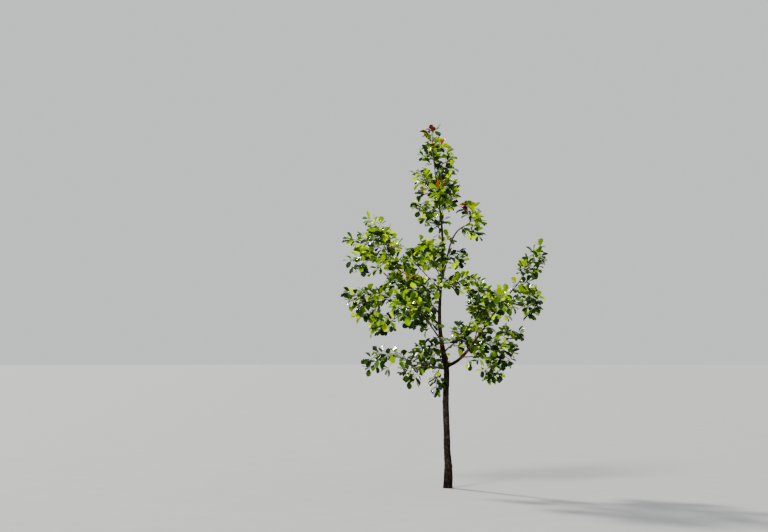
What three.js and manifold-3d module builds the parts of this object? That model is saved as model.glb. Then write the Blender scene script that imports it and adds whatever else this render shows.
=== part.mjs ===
// A young oak, planted out and rooted in the ground, about three metres tall: a slim trunk with a
// slight kink at its first fork, a second stem beside the leader, boughs that leave on all sides, and
// open masses of lobed leaves at their tips. Millimetres, +Z up, +X to the right and +Y away as the
// tree is usually seen. The origin is the middle of the flat cut where the trunk meets the ground.
import * as THREE from "three";
import Module from "manifold-3d";
import { ConvexGeometry } from "three/addons/geometries/ConvexGeometry.js";
import { mergeVertices } from "three/addons/utils/BufferGeometryUtils.js";

const wasm = await Module();
wasm.setup();

// Trunk
const TRUNK_HEIGHT = 2560;
const TRUNK_BUTT_RADIUS = 29.5;
const TRUNK_TIP_RADIUS = 4.4;
const TRUNK_TAPER = 0.9;
// The trunk narrows by this much at its first fork, where its big bough leaves.
const FORK_NARROWING = 6.5;
const FORK_HEIGHT = 1220;
const FORK_FADE = 80;
const FLARE = 8.5;
const FLARE_HEIGHT = 190;
const FLARE_LOBES = 5;
const FLARE_LOBE_DEPTH = 0.3;
const TRUNK_SIDES = 12;
const TRUNK_STEPS = 22;
// How far the trunk stands from the plumb line at even steps of height, to the right and to the rear.
const LEAN_RIGHT = [0, 4, -5, -9, -15, -14, -9, -38, -60, -65, -58, -48, -41, -43, -55, -77, -97];
const LEAN_REAR = [0, 3, 6, 6, 4, 1, -2, 3, 11, 12, 7, 3, -2, -6, -8, -7, -4];

// Boughs
const BOUGH_SIDES = 6;
const BOUGH_STEPS = 4;
const SIDE_BOUGH_ROOT = 5.2;
const SIDE_BOUGH_TIP = 3.4;
const BOUGH_TAPER = 0.8;
// A bough swells at its root into a collar, which fades over so many root radii.
const COLLAR = 0.45;
const COLLAR_FADE = 1.6;
// A bough is no thicker than this share of its parent, so that its root stays on the parent's side.
const NARROWER = 0.88;
// The shares of a bough's length over which it keeps its first and its last direction.
const BEND = 0.25;
const SETTLE = 0.5;
const STEERED_SETTLE = 0.35;
const JOINT_GAP = 0.3;

// Stems and twigs, three-sided
const STEM_TIP_RADIUS = 2.6;
const STEM_STEPS = 4;
const STEM_BEND = 0.35;
const TWIG_ROOT_RADIUS = 2.1;
const TWIG_TIP_RADIUS = 1.6;
const TWIG_STEPS = 1;
const TWIG_PITCH = 47;
const FEWEST_TWIGS = 2;
const LONGEST_TWIG = 190;
const SHORTEST_TWIG = 20;
// The share of a stem that its twigs leave from, and how far a twig may move up within its own stretch.
const TWIGGY = [0.12, 0.92];
const TWIG_SHIFT = 0.4;
// Degrees between a stem and its twigs, their stray from the stem's faces in radians, and the shares of
// their room that they take up.
const TWIG_SPLAY = [44, 64];
const TWIG_STRAY = 0.5;
const TWIG_FILL = [0.82, 1];
const WALL_STEP = 5;

// Leaves
const LEAF_LENGTH = 122;
const LEAF_SIZES = [0.86, 1.14];
const LEAF_WIDTH_SHARE = 0.5;
const LEAF_WIDEST = 0.62;
const LEAF_ARCH = 3;
const KEEL_DEPTH = 3.2;
const KEEL_FROM_ROOT = 8;
const LEAF_SINK = 0.35;
// The shares of a leaf's length by which a stem and a twig stop short of their space's wall.
const STEM_SHORT = 0.7;
const TWIG_SHORT = 0.62;
// Leaves crowd at a shoot's tip and sit at an even pitch below it, down to the shoot's bare part.
const WHORL = 3;
const WHORL_PITCH = 7;
const WHORL_BACK = 3;
const LEAF_PITCH = 81;
const BELOW_WHORL = 0.6;
const BARE_STEM = 0.5;
const BARE_TWIG = 0.25;
const LOWEST_SEAT = 0.08;
// Degrees between a shoot and its leaves, at the tip and below it, and their stray and roll in radians.
const WHORL_SPLAY = [36, 70];
const LEAF_SPLAY = [50, 75];
const LEAF_STRAY = 0.8;
const LEAF_ROLL = 2.2;
// A leaf that finds no room is tried again on another face, each time a little smaller.
const LEAF_TRIES = 6;
const LEAF_SHRINK = 0.05;
const CLEARANCE = 0.6;
const MERGE = 0.05;

// The seeds of the first mass, and how much they grow from one mass to the next.
const TWIG_SEED = { first: 1009, step: 37 };
const LEAF_SEED = { first: 5003, step: 61 };
const SEED_FACTOR = 48271;
const SEED_MODULUS = 2147483647;
const UP = new THREE.Vector3(0, 0, 1);

const BARK = new THREE.MeshStandardMaterial({ color: 0x4c4036, roughness: 0.9, metalness: 0 });
const LEAF = new THREE.MeshStandardMaterial({ color: 0x5f8a1e, roughness: 0.5, metalness: 0 });
const LEAF_TURNING = new THREE.MeshStandardMaterial({ color: 0x9a8a22, roughness: 0.5, metalness: 0 });

// Each bough leaves its parent at a height up the trunk, or at a share of the parent bough's length. It
// heads to an azimuth in degrees (0 right, 90 rear, 180 left, 270 fore), and by its tip it has reached
// that far out and risen that much. It leaves at a steepness of its own, which it keeps for its bend's
// share of the way, and arrives along its heading or at the steepness given.
const BOUGHS = [
  {
    name: "right_bough", on: "trunk", at: 1000, azimuth: 6, reach: 555, rise: 620,
    leave: 8, bend: 0.22, root: 14.5, tip: 5,
  },
  { name: "right_hang_bough", on: "right_bough", at: 0.26, azimuth: -30, reach: 185, rise: 10, leave: 5 },
  { name: "right_low_bough", on: "right_bough", at: 0.42, azimuth: 30, reach: 260, rise: 85, leave: 5 },
  { name: "right_fore_bough", on: "right_bough", at: 0.55, azimuth: -77, reach: 270, rise: 185, leave: 30 },
  { name: "right_rear_bough", on: "right_bough", at: 0.48, azimuth: 75, reach: 245, rise: 200, leave: 30 },
  { name: "right_far_bough", on: "right_bough", at: 0.8, azimuth: -39, reach: 165, rise: 60, leave: 15 },
  {
    name: "left_low_bough", on: "trunk", at: 975, azimuth: 190, reach: 165, rise: 15,
    leave: 5, root: 8, tip: 3.8,
  },
  {
    name: "left_far_low_bough", on: "left_low_bough", at: 0.6, azimuth: 150, reach: 310, rise: 75,
    leave: 15,
  },
  {
    name: "left_mid_bough", on: "trunk", at: 1330, azimuth: 176, reach: 370, rise: 190,
    leave: 50, root: 9, tip: 4.2,
  },
  {
    name: "left_mid_fore_bough", on: "left_mid_bough", at: 0.35, azimuth: 237, reach: 160, rise: 70,
    leave: 20,
  },
  {
    name: "left_drop_bough", on: "left_mid_bough", at: 0.82, azimuth: 232, reach: 130, rise: -80,
    leave: -20,
  },
  {
    name: "left_up_bough", on: "trunk", at: 1560, azimuth: 186, reach: 330, rise: 250,
    leave: 20, root: 9.5, tip: 4.4,
  },
  {
    name: "left_far_up_bough", on: "left_up_bough", at: 0.85, azimuth: 147, reach: 245, rise: 195,
    leave: 35,
  },
  { name: "left_far_bough", on: "left_up_bough", at: 0.72, azimuth: 215, reach: 235, rise: 100, leave: 15 },
  {
    name: "second_stem", on: "trunk", at: 1720, azimuth: 3, reach: 200, rise: 430,
    leave: 60, arrive: 18, root: 8.5, tip: 4.6,
  },
  {
    name: "fore_bough", on: "trunk", at: 1200, azimuth: 243, reach: 325, rise: 200,
    leave: 35, root: 7.5, tip: 3.8,
  },
  {
    name: "rear_right_bough", on: "trunk", at: 1100, azimuth: 66, reach: 330, rise: 110,
    leave: 30, root: 7.5, tip: 3.8,
  },
  {
    name: "rear_left_bough", on: "trunk", at: 1420, azimuth: 114, reach: 330, rise: 170,
    leave: 35, root: 7.5, tip: 3.8,
  },
  {
    name: "fore_up_bough", on: "trunk", at: 1610, azimuth: 241, reach: 290, rise: 145,
    leave: 35, root: 7, tip: 3.8,
  },
  {
    name: "rear_up_bough", on: "trunk", at: 1780, azimuth: 118, reach: 250, rise: 125,
    leave: 35, root: 6.5, tip: 3.6,
  },
];

// Each mass of leaves starts at its bough's tip, or up the trunk, and runs to an azimuth, a reach and a
// rise of its own, inside a long round space of that width.
const MASSES = [
  { name: "right_top", on: "right_bough", azimuth: 18, reach: 300, rise: 435, width: 280 },
  { name: "right_hang", on: "right_hang_bough", azimuth: -45, reach: 185, rise: -210, width: 220 },
  { name: "right_under", on: "right_low_bough", at: 0.62, azimuth: -24, reach: 295, rise: -190, width: 270 },
  { name: "right_low", on: "right_low_bough", azimuth: 29, reach: 310, rise: 20, width: 270 },
  { name: "right_inner", on: "right_bough", at: 0.4, azimuth: -48, reach: 290, rise: 60, width: 230 },
  { name: "right_fore", on: "right_fore_bough", azimuth: -63, reach: 345, rise: 190, width: 290 },
  { name: "right_rear", on: "right_rear_bough", azimuth: 69, reach: 360, rise: 140, width: 290 },
  { name: "right_far", on: "right_far_bough", azimuth: -33, reach: 330, rise: 60, width: 310 },
  { name: "right_mid", on: "right_bough", at: 0.62, azimuth: 147, reach: 50, rise: 495, width: 250 },
  { name: "right_up", on: "trunk", at: 1640, azimuth: -20, reach: 335, rise: 90, width: 190 },
  { name: "left_low", on: "left_low_bough", azimuth: 206, reach: 275, rise: -85, width: 270 },
  { name: "left_hang", on: "left_low_bough", at: 0.45, azimuth: 230, reach: 65, rise: -235, width: 170 },
  { name: "left_far_low", on: "left_far_low_bough", azimuth: 160, reach: 375, rise: 0, width: 320 },
  { name: "left_fore_low", on: "trunk", at: 1105, azimuth: 222, reach: 340, rise: 55, width: 240 },
  { name: "left_rear_low", on: "trunk", at: 1030, azimuth: 128, reach: 500, rise: 60, width: 250 },
  { name: "left_mid", on: "left_mid_bough", azimuth: 177, reach: 450, rise: 20, width: 380 },
  { name: "left_mid_fore", on: "left_mid_fore_bough", azimuth: 226, reach: 355, rise: 75, width: 290 },
  { name: "left_inner", on: "trunk", at: 1440, azimuth: 184, reach: 290, rise: 60, width: 250 },
  { name: "left_drop", on: "left_drop_bough", azimuth: 213, reach: 290, rise: -125, width: 230 },
  { name: "left_up_low", on: "left_up_bough", at: 0.5, azimuth: 209, reach: 400, rise: 60, width: 230 },
  { name: "left_top", on: "left_up_bough", azimuth: 169, reach: 260, rise: 450, width: 290 },
  { name: "left_far_up", on: "left_far_up_bough", azimuth: 154, reach: 380, rise: 130, width: 250 },
  { name: "left_far", on: "left_far_bough", azimuth: 204, reach: 445, rise: 50, width: 250 },
  { name: "left_up_inner", on: "trunk", at: 1700, azimuth: 200, reach: 155, rise: 375, width: 300 },
  { name: "second_top", on: "second_stem", azimuth: 40, reach: 120, rise: 240, width: 340 },
  { name: "second_low", on: "second_stem", at: 0.9, azimuth: -30, reach: 235, rise: -60, width: 180 },
  { name: "second_side", on: "second_stem", at: 0.36, azimuth: -24, reach: 190, rise: 10, width: 190 },
  { name: "fore", on: "fore_bough", azimuth: 238, reach: 375, rise: 90, width: 290 },
  { name: "rear_right", on: "rear_right_bough", azimuth: 66, reach: 375, rise: 70, width: 290 },
  { name: "rear_left", on: "rear_left_bough", azimuth: 114, reach: 375, rise: 130, width: 300 },
  { name: "fore_up", on: "fore_up_bough", azimuth: 244, reach: 350, rise: 140, width: 280 },
  { name: "rear_up", on: "rear_up_bough", azimuth: 110, reach: 310, rise: 120, width: 250 },
  { name: "leader_left", on: "trunk", at: 2095, azimuth: 190, reach: 255, rise: 305, width: 220 },
  { name: "crown_fore", on: "trunk", at: 2180, azimuth: 262, reach: 240, rise: 330, width: 250 },
  { name: "crown_right", on: "trunk", at: 2230, azimuth: -15, reach: 135, rise: 330, width: 230 },
  { name: "crown_rear", on: "trunk", at: 2290, azimuth: 82, reach: 230, rise: 330, width: 250 },
  { name: "crown_left", on: "trunk", at: 2330, azimuth: 186, reach: 200, rise: 330, width: 240 },
  { name: "crown_high", on: "trunk", at: 2460, azimuth: -25, reach: 140, rise: 330, width: 230 },
  { name: "crown_top", on: "trunk", azimuth: 184, reach: 35, rise: 455, width: 270, turning: true },
];

// Pseudo-random numbers from 0 to 1, the same ones for the same seed.
function seeded(seed) {
  let state = seed;
  return () => {
    state = (state * SEED_FACTOR) % SEED_MODULUS;
    return state / SEED_MODULUS;
  };
}

function between(random, [least, most]) {
  return least + (most - least) * random();
}

// A number up to half the spread to either side of zero.
function astray(random, spread) {
  return spread * (random() - 0.5);
}

function offset(azimuth, reach, rise) {
  const turn = THREE.MathUtils.degToRad(azimuth);
  return new THREE.Vector3(reach * Math.cos(turn), reach * Math.sin(turn), rise);
}

// The trunk's middle line, with even steps of height.
function trunkLine() {
  const step = TRUNK_HEIGHT / (LEAN_RIGHT.length - 1);
  const points = LEAN_RIGHT.map((right, i) => new THREE.Vector3(right, LEAN_REAR[i], i * step));
  return new THREE.CatmullRomCurve3(points, false, "catmullrom", 0.5);
}

// The trunk's radius, which tapers evenly but for its narrowing at the first fork.
function trunkRadius(share) {
  const evenly = TRUNK_BUTT_RADIUS - FORK_NARROWING - TRUNK_TIP_RADIUS;
  const below = FORK_NARROWING / (1 + Math.exp((share * TRUNK_HEIGHT - FORK_HEIGHT) / FORK_FADE));
  return TRUNK_TIP_RADIUS + evenly * (1 - share) ** TRUNK_TAPER + below;
}

// The trunk's radius with its root flare, which swells in lobes round the butt.
function flaredRadius(share, turn) {
  const lobes = 1 + FLARE_LOBE_DEPTH * Math.cos(FLARE_LOBES * turn);
  return trunkRadius(share) + FLARE * lobes * Math.exp(-(((share * TRUNK_HEIGHT) / FLARE_HEIGHT) ** 2));
}

// A bough's radius, which tapers to its tip and swells into a collar at its root.
function boughRadius(share, root, tip, length) {
  const collar = COLLAR * root * Math.exp((-share * length) / (COLLAR_FADE * root));
  return tip + (root - tip) * (1 - share) ** BOUGH_TAPER + collar;
}

// Two directions square to the curve at each ring, turned no more than the curve itself turns.
function ringFrames(curve, steps) {
  const frames = [];
  let front = null;
  for (let i = 0; i <= steps; i += 1) {
    const along = curve.getTangent(i / steps).normalize();
    if (!front) front = Math.abs(along.z) > 0.9 ? new THREE.Vector3(0, -1, 0) : UP.clone();
    front = front.clone().addScaledVector(along, -front.dot(along)).normalize();
    frames.push({ along, side: new THREE.Vector3().crossVectors(along, front), front });
  }
  return frames;
}

// A closed tube along a curve, from a cylinder whose rings are moved onto it.
function tube(curve, radiusAt, sides, steps) {
  const geometry = new THREE.CylinderGeometry(1, 1, 1, sides, steps);
  const place = geometry.getAttribute("position");
  const frames = ringFrames(curve, steps);
  for (let i = 0; i < place.count; i += 1) {
    const ring = Math.round((place.getY(i) + 0.5) * steps);
    const { side, front } = frames[ring];
    const out = Math.hypot(place.getX(i), place.getZ(i));
    const turn = Math.atan2(place.getX(i), place.getZ(i));
    const radius = out < 0.5 ? 0 : radiusAt(ring / steps, turn);
    const moved = curve
      .getPoint(ring / steps)
      .addScaledVector(side, radius * Math.sin(turn))
      .addScaledVector(front, radius * Math.cos(turn));
    place.setXYZ(i, moved.x, moved.y, moved.z);
  }
  return geometry;
}

function solidOf(geometry) {
  const bare = geometry.clone();
  for (const name of Object.keys(bare.attributes)) {
    if (name !== "position") bare.deleteAttribute(name);
  }
  const merged = mergeVertices(bare, 1e-4);
  const mesh = new wasm.Mesh({
    numProp: 3,
    vertProperties: merged.getAttribute("position").array,
    triVerts: new Uint32Array(merged.index.array),
  });
  return new wasm.Manifold(mesh);
}

function geometryOf(solid) {
  const { numProp, vertProperties, triVerts } = solid.getMesh();
  const geometry = new THREE.BufferGeometry();
  const buffer = new THREE.InterleavedBuffer(vertProperties, numProp);
  geometry.setAttribute("position", new THREE.InterleavedBufferAttribute(buffer, 3, 0));
  geometry.setIndex(new THREE.BufferAttribute(triVerts, 1));
  const loose = geometry.toNonIndexed();
  loose.computeVertexNormals();
  return loose;
}

// The one large body of a solid, without scraps cut off it or edges too short to matter.
function mainBody(solid) {
  return solid.simplify(MERGE).decompose().sort((a, b) => b.volume() - a.volume())[0];
}

// The trunk from its flat cut to its tip, and the same a little fatter, which cuts what joins it.
function makeTrunk() {
  const line = trunkLine();
  const fatter = (share, turn) => flaredRadius(share, turn) + JOINT_GAP;
  const geometry = tube(line, flaredRadius, TRUNK_SIDES, TRUNK_STEPS);
  levelFoot(geometry);
  return {
    name: "trunk",
    line,
    radius: trunkRadius,
    geometry,
    solid: solidOf(geometry),
    fat: solidOf(tube(line, fatter, TRUNK_SIDES, TRUNK_STEPS)),
  };
}

// Levels the lowest ring, where the trunk leans a little.
function levelFoot(geometry) {
  const place = geometry.getAttribute("position");
  const halfStep = TRUNK_HEIGHT / TRUNK_STEPS / 2;
  for (let i = 0; i < place.count; i += 1) {
    if (place.getZ(i) < halfStep) place.setZ(i, 0);
  }
}

function shareOn(limb, at) {
  return limb.name === "trunk" ? at / TRUNK_HEIGHT : at;
}

// A unit direction with a heading's azimuth and a steepness in degrees.
function steered(heading, steepness) {
  const level = Math.hypot(heading.x, heading.y);
  const rise = THREE.MathUtils.degToRad(steepness);
  const out = Math.cos(rise) / level;
  return new THREE.Vector3(out * heading.x, out * heading.y, Math.sin(rise));
}

function boughLine(start, row) {
  const heading = offset(row.azimuth, row.reach, row.rise);
  const length = heading.length();
  const tip = start.clone().add(heading);
  const isSteered = row.arrive !== undefined;
  const last = isSteered ? steered(heading, row.arrive) : heading.clone().normalize();
  const settle = isSteered ? STEERED_SETTLE : SETTLE;
  return new THREE.CubicBezierCurve3(
    start,
    start.clone().addScaledVector(steered(heading, row.leave), (row.bend ?? BEND) * length),
    tip.clone().addScaledVector(last, -settle * length),
    tip,
  );
}

function makeBough(row, parent) {
  const line = boughLine(parent.line.getPoint(shareOn(parent, row.at)), row);
  const length = line.getLength();
  const root = row.root ?? SIDE_BOUGH_ROOT;
  const tip = row.tip ?? SIDE_BOUGH_TIP;
  const widest = NARROWER * parent.radius(shareOn(parent, row.at));
  const radius = (share) => Math.min(boughRadius(share, root, tip, length), widest);
  const fatter = (share) => radius(share) + JOINT_GAP;
  const whole = solidOf(tube(line, radius, BOUGH_SIDES, BOUGH_STEPS));
  return {
    name: row.name,
    line,
    radius,
    solid: mainBody(whole.subtract(parent.fat)),
    fat: solidOf(tube(line, fatter, BOUGH_SIDES, BOUGH_STEPS)),
  };
}

// A mass's space is a long round body from its root to the end of its reach. At its limb's tip the mass
// goes on from the limb, and elsewhere it leaves the limb's side.
function makeSpace(row, limb) {
  const goesOn = row.at === undefined;
  const share = goesOn ? 1 : shareOn(limb, row.at);
  const heading = offset(row.azimuth, row.reach, row.rise);
  const axis = heading.clone().normalize();
  const first = goesOn ? limb.line.getTangent(1).normalize() : axis;
  const root = limb.line.getPoint(share);
  if (goesOn) root.addScaledVector(first, JOINT_GAP);
  return {
    ...row,
    limb,
    goesOn,
    root,
    first,
    axis,
    length: heading.length(),
    centre: root.clone().addScaledVector(heading, 0.5),
    halfWidth: row.width / 2,
    rootRadius: goesOn ? limb.radius(1) : SIDE_BOUGH_TIP,
  };
}

// How far out a point lies in a space: 0 in its middle, 1 at its wall.
function outness(space, point) {
  const from = point.clone().sub(space.centre);
  const along = from.dot(space.axis);
  const away = Math.sqrt(Math.max(0, from.lengthSq() - along * along));
  return Math.hypot((2 * along) / space.length, away / space.halfWidth);
}

// True where a point lies in its mass's own space, and no deeper in another's.
function isOwn(space, spaces, point) {
  const own = outness(space, point);
  return own <= 1 && spaces.every((other) => outness(other, point) >= own);
}

// A shoot is a three-sided stem or twig: its curve, its frames and its radius at any share.
function makeShoot(line, root, tip, steps) {
  const frames = ringFrames(line, steps);
  const radius = (share) => root + (tip - root) * share;
  return { line, frames, steps, radius, solid: solidOf(tube(line, radius, 3, steps)) };
}

// The direction that leaves a shoot through the middle of one of its three faces, or a little beside.
function leaving(shoot, share, face, stray, splay) {
  const { along, side, front } = shoot.frames[Math.round(share * shoot.steps)];
  const turn = ((2 * face + 1) * Math.PI) / 3 + stray;
  return along
    .clone()
    .multiplyScalar(Math.cos(splay))
    .addScaledVector(side, Math.sin(splay) * Math.sin(turn))
    .addScaledVector(front, Math.sin(splay) * Math.cos(turn));
}

function makeStem(space) {
  const reach = space.length - STEM_SHORT * LEAF_LENGTH;
  const control = space.root.clone().addScaledVector(space.first, STEM_BEND * reach);
  const end = space.root.clone().addScaledVector(space.axis, reach);
  const line = new THREE.QuadraticBezierCurve3(space.root, control, end);
  return makeShoot(line, space.rootRadius, STEM_TIP_RADIUS, STEM_STEPS);
}

function wallDistance(space, start, direction) {
  let distance = 0;
  while (outness(space, start.clone().addScaledVector(direction, distance)) < 1) distance += WALL_STEP;
  return distance;
}

// One twig of a stem: out through a face, as far as the space's wall leaves room for a leaf.
function makeTwig(space, stem, share, face, random) {
  const splay = THREE.MathUtils.degToRad(between(random, TWIG_SPLAY));
  const direction = leaving(stem, share, face, astray(random, TWIG_STRAY), splay);
  const start = stem.line.getPoint(share);
  const room = wallDistance(space, start, direction) - TWIG_SHORT * LEAF_LENGTH;
  const reach = Math.min(room, LONGEST_TWIG) * between(random, TWIG_FILL);
  if (reach < SHORTEST_TWIG) return null;
  const end = start.clone().addScaledVector(direction, reach);
  return makeShoot(new THREE.LineCurve3(start, end), TWIG_ROOT_RADIUS, TWIG_TIP_RADIUS, TWIG_STEPS);
}

function makeTwigs(space, stem, random) {
  const [from, to] = TWIGGY;
  const count = Math.max(FEWEST_TWIGS, Math.round(((to - from) * stem.line.getLength()) / TWIG_PITCH));
  const twigs = [];
  for (let i = 0; i < count; i += 1) {
    const share = from + ((to - from) * (i + TWIG_SHIFT * random())) / count;
    twigs.push(makeTwig(space, stem, share, i % 3, random));
  }
  return twigs.filter((twig) => twig);
}

// Where leaves sit on a shoot: crowded at its tip, then at an even pitch down to its bare part.
function leafSeats(shoot, bare) {
  const length = shoot.line.getLength();
  const crowded = WHORL * WHORL_PITCH;
  const seats = [];
  for (let back = WHORL_BACK; back < crowded; back += WHORL_PITCH) seats.push({ back, splay: WHORL_SPLAY });
  for (let back = crowded + BELOW_WHORL * LEAF_PITCH; back < length * (1 - bare); back += LEAF_PITCH) {
    seats.push({ back, splay: LEAF_SPLAY });
  }
  for (const seat of seats) seat.share = 1 - seat.back / length;
  return seats.filter((seat) => seat.share > LOWEST_SEAT);
}

// A leaf's root, direction, upper side and length, on a shoot at one seat.
function placeLeaf(shoot, seat, face, shrink, random) {
  const splay = THREE.MathUtils.degToRad(between(random, seat.splay));
  const direction = leaving(shoot, seat.share, face, astray(random, LEAF_STRAY), splay);
  const side = new THREE.Vector3().crossVectors(direction, UP).normalize();
  const lift = new THREE.Vector3().crossVectors(side, direction);
  const roll = astray(random, LEAF_ROLL);
  const upper = lift.multiplyScalar(Math.cos(roll)).addScaledVector(side, Math.sin(roll));
  const sunk = LEAF_SINK * shoot.radius(seat.share);
  const root = shoot.line.getPoint(seat.share).addScaledVector(direction, -sunk);
  return { root, direction, upper, length: LEAF_LENGTH * between(random, LEAF_SIZES) * shrink };
}

// A leaf is widest past its middle, arched a little, with a keel below it that is deep near the root.
function leafPoints({ root, direction, upper, length }) {
  const side = new THREE.Vector3().crossVectors(direction, upper);
  const half = (length * LEAF_WIDTH_SHARE) / 2;
  const widest = length * LEAF_WIDEST;
  const at = (along, out, up) =>
    root.clone().addScaledVector(direction, along).addScaledVector(side, out).addScaledVector(upper, up);
  const rim = [at(length, 0, 0), at(widest, half, LEAF_ARCH), at(widest, -half, LEAF_ARCH)];
  return { rim, foot: [at(0, 0, 0), at(KEEL_FROM_ROOT, 0, -KEEL_DEPTH)] };
}

// Every solid that stands so far, with its box, to find what a new one would touch.
const standing = [];

function stand(solid) {
  standing.push({ solid, box: solid.boundingBox() });
}

function isFree(solid, allowed) {
  const { min, max } = solid.boundingBox();
  return standing.every(({ solid: other, box }) => {
    if (allowed.includes(other)) return true;
    const apart = [0, 1, 2].some((k) => min[k] - CLEARANCE > box.max[k] || max[k] + CLEARANCE < box.min[k]);
    return apart || solid.minGap(other, CLEARANCE) >= CLEARANCE;
  });
}

function growLeaf(space, spaces, shoot, seat, order, random) {
  for (let tries = 0; tries < LEAF_TRIES; tries += 1) {
    const { rim, foot } = leafPoints(placeLeaf(shoot, seat, order + tries, 1 - LEAF_SHRINK * tries, random));
    if (!rim.every((point) => isOwn(space, spaces, point))) continue;
    const solid = solidOf(new ConvexGeometry([...rim, ...foot]));
    if (isFree(solid, [shoot.solid])) return solid;
  }
  return null;
}

// Grows one mass: its stem, its twigs, and leaves sunk into both.
function growMass(space, spaces, index) {
  const twigRandom = seeded(TWIG_SEED.first + TWIG_SEED.step * index);
  const leafRandom = seeded(LEAF_SEED.first + LEAF_SEED.step * index);
  const stem = makeStem(space);
  const pieces = [stem.solid];
  const shoots = [stem];
  stand(stem.solid);
  for (const twig of makeTwigs(space, stem, twigRandom)) {
    if (!isOwn(space, spaces, twig.line.getPoint(1)) || !isFree(twig.solid, pieces)) continue;
    shoots.push(twig);
    pieces.push(twig.solid);
    stand(twig.solid);
  }
  for (const shoot of shoots) {
    leafSeats(shoot, shoot === stem ? BARE_STEM : BARE_TWIG).forEach((seat, order) => {
      const leaf = growLeaf(space, spaces, shoot, seat, order, leafRandom);
      if (!leaf) return;
      pieces.push(leaf);
      stand(leaf);
    });
  }
  return pieces;
}

// Joins the pieces and cuts them clear of the limb's side they grow on.
function joined(pieces, space) {
  const whole = wasm.Manifold.union(pieces);
  return mainBody(space.goesOn ? whole : whole.subtract(space.limb.fat));
}

const tree = new THREE.Group();
function addNode(name, geometry, material) {
  const mesh = new THREE.Mesh(geometry, material);
  mesh.name = name;
  tree.add(mesh);
}

const trunk = makeTrunk();
const limbs = new Map([["trunk", trunk]]);
stand(trunk.solid);
addNode("trunk", trunk.geometry, BARK);
for (const row of BOUGHS) {
  const bough = makeBough(row, limbs.get(row.on));
  limbs.set(row.name, bough);
  stand(bough.solid);
  addNode(row.name, geometryOf(bough.solid), BARK);
}

const spaces = MASSES.map((row) => makeSpace(row, limbs.get(row.on)));
spaces.forEach((space, index) => {
  const solid = joined(growMass(space, spaces, index), space);
  addNode(`${space.name}_leaves`, geometryOf(solid), space.turning ? LEAF_TURNING : LEAF);
});

export default tree;
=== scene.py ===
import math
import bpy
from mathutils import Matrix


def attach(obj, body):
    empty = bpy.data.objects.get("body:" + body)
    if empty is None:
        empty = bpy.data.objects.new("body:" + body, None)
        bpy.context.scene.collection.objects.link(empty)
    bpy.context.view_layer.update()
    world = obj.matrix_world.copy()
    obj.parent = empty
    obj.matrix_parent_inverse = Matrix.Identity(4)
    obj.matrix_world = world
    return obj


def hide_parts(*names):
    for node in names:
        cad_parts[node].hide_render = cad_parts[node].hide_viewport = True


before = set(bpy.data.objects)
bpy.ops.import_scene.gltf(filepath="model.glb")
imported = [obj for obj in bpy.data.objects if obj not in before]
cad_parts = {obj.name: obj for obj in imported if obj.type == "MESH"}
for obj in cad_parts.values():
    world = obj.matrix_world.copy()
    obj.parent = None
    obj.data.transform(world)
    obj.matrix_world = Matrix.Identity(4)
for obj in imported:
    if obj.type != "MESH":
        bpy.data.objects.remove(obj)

# A young oak, three metres tall: bark in relief on its trunk and boughs, twigs that grow on from them,
# and lobed leaves of natural size. Lengths are in millimetres and become metres where a mesh is made.
from types import SimpleNamespace as Item

import bpy
import numpy as np
from mathutils import Vector

MM = 0.001
ROUND = 2 * math.pi
UP = np.array([0.0, 0.0, 1.0])
RIGHT = np.array([1.0, 0.0, 0.0])
FORWARD = np.array([0.0, -1.0, 0.0])
STEEP = 0.9
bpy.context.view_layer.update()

# Trunk, as the solids have it
TRUNK_HEIGHT = 2560
TRUNK_BUTT_RADIUS = 29.5
TRUNK_TIP_RADIUS = 4.4
TRUNK_TAPER = 0.9
FORK_NARROWING = 6.5
FORK_HEIGHT = 1220
FORK_FADE = 80
FLARE = 8.5
FLARE_HEIGHT = 190
FLARE_LOBES = 5
FLARE_LOBE_DEPTH = 0.3
LEAN_RIGHT = [0, 4, -5, -9, -15, -14, -9, -38, -60, -65, -58, -48, -41, -43, -55, -77, -97]
LEAN_REAR = [0, 3, 6, 6, 4, 1, -2, 3, 11, 12, 7, 3, -2, -6, -8, -7, -4]

# Boughs, as the solids have them
SIDE_BOUGH_ROOT = 5.2
SIDE_BOUGH_TIP = 3.4
BOUGH_TAPER = 0.8
COLLAR = 0.45
COLLAR_FADE = 1.6
NARROWER = 0.88
BEND = 0.25
SETTLE = 0.5
STEERED_SETTLE = 0.35


def bough(name, on, at, azimuth, reach, rise, leave, **more):
    return dict(name=name, on=on, at=at, azimuth=azimuth, reach=reach, rise=rise, leave=leave, **more)


def mass(name, on, azimuth, reach, rise, width, **more):
    return dict(name=name, on=on, azimuth=azimuth, reach=reach, rise=rise, width=width, **more)


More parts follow.
